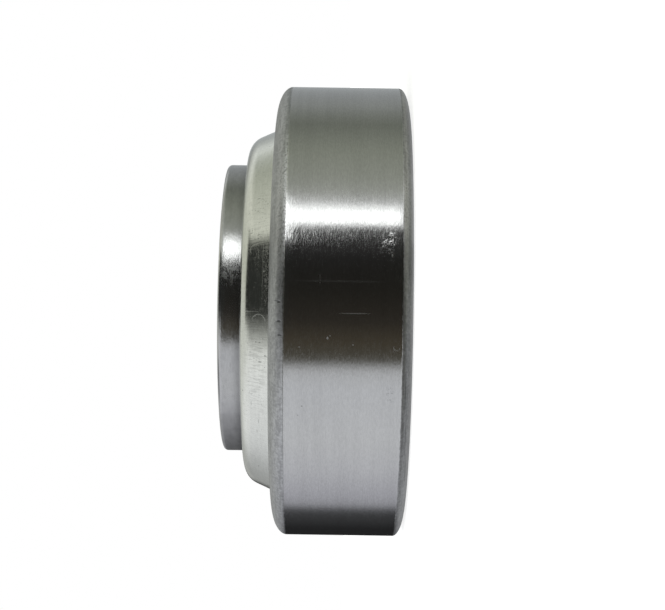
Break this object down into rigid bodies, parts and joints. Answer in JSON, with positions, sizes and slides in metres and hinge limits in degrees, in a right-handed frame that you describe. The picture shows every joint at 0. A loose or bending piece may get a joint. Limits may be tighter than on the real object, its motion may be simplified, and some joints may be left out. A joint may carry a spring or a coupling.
{
  "type": "insert bearing",
  "caption": "Insert ball bearing with a cylindrical outside, shrouded lip seals and an inner ring extended on one side, with an eccentric cam for a locking collar.",
  "frame": {"origin": "bearing axis on the plane of the flush face, which it stands on", "axes": "+Z along the bearing axis towards the extended end of the inner ring, +X towards the high side of the cam"},
  "size_m": [0.052, 0.052, 0.0207],
  "materials": {
    "outer_ring_steel": "ground outside, turned corners",
    "inner_ring_steel": "ground",
    "ball_steel": "polished",
    "cage_steel": "pressed sheet",
    "rivet_steel": "headed",
    "zinc_plate": "zinc plated",
    "washer_steel": "pressed sheet",
    "seal_rubber": "moulded nitrile rubber"
  },
  "bodies": {
    "outer": {"outer_ring": "outer_ring_steel", "upper_shroud": "zinc_plate", "lower_shroud": "zinc_plate", "upper_retainer": "washer_steel", "lower_retainer": "washer_steel", "upper_seal_lip": "seal_rubber", "lower_seal_lip": "seal_rubber"},
    "inner": {"inner_ring": "inner_ring_steel"},
    "cage": {"cage_half_upper": "cage_steel", "cage_half_lower": "cage_steel", "cage_rivets": "rivet_steel"},
    "ball_1": {"ball_1": "ball_steel"},
    "ball_2": {"ball_2": "ball_steel"},
    "ball_3": {"ball_3": "ball_steel"},
    "ball_4": {"ball_4": "ball_steel"},
    "ball_5": {"ball_5": "ball_steel"},
    "ball_6": {"ball_6": "ball_steel"},
    "ball_7": {"ball_7": "ball_steel"},
    "ball_8": {"ball_8": "ball_steel"},
    "ball_9": {"ball_9": "ball_steel"}
  },
  "joints": [
    {"name": "inner_spin", "type": "hinge", "parent": "outer", "child": "inner", "pos_m": [0, 0, 0.0075], "axis": [0, 0, 1], "continuous": true},
    {"name": "cage_spin", "type": "hinge", "parent": "outer", "child": "cage", "pos_m": [0, 0, 0.0075], "axis": [0, 0, 1], "continuous": true},
    {"name": "ball_1_spin", "type": "hinge", "parent": "cage", "child": "ball_1", "pos_m": [0.0195, 0, 0.0075], "axis": [0, 0, 1], "continuous": true},
    {"name": "ball_2_spin", "type": "hinge", "parent": "cage", "child": "ball_2", "pos_m": [0.01494, 0.01253, 0.0075], "axis": [0, 0, 1], "continuous": true},
    {"name": "ball_3_spin", "type": "hinge", "parent": "cage", "child": "ball_3", "pos_m": [0.00339, 0.0192, 0.0075], "axis": [0, 0, 1], "continuous": true},
    {"name": "ball_4_spin", "type": "hinge", "parent": "cage", "child": "ball_4", "pos_m": [-0.00975, 0.01689, 0.0075], "axis": [0, 0, 1], "continuous": true},
    {"name": "ball_5_spin", "type": "hinge", "parent": "cage", "child": "ball_5", "pos_m": [-0.01832, 0.00667, 0.0075], "axis": [0, 0, 1], "continuous": true},
    {"name": "ball_6_spin", "type": "hinge", "parent": "cage", "child": "ball_6", "pos_m": [-0.01832, -0.00667, 0.0075], "axis": [0, 0, 1], "continuous": true},
    {"name": "ball_7_spin", "type": "hinge", "parent": "cage", "child": "ball_7", "pos_m": [-0.00975, -0.01689, 0.0075], "axis": [0, 0, 1], "continuous": true},
    {"name": "ball_8_spin", "type": "hinge", "parent": "cage", "child": "ball_8", "pos_m": [0.00339, -0.0192, 0.0075], "axis": [0, 0, 1], "continuous": true},
    {"name": "ball_9_spin", "type": "hinge", "parent": "cage", "child": "ball_9", "pos_m": [0.01494, -0.01253, 0.0075], "axis": [0, 0, 1], "continuous": true}
  ],
  "couplings": [
    {"joint": "cage_spin", "follows": "inner_spin", "ratio": 0.3982},
    {"joint": "ball_1_spin", "follows": "inner_spin", "ratio": -2.3541},
    {"joint": "ball_2_spin", "follows": "inner_spin", "ratio": -2.3541},
    {"joint": "ball_3_spin", "follows": "inner_spin", "ratio": -2.3541},
    {"joint": "ball_4_spin", "follows": "inner_spin", "ratio": -2.3541},
    {"joint": "ball_5_spin", "follows": "inner_spin", "ratio": -2.3541},
    {"joint": "ball_6_spin", "follows": "inner_spin", "ratio": -2.3541},
    {"joint": "ball_7_spin", "follows": "inner_spin", "ratio": -2.3541},
    {"joint": "ball_8_spin", "follows": "inner_spin", "ratio": -2.3541},
    {"joint": "ball_9_spin", "follows": "inner_spin", "ratio": -2.3541}
  ]
}
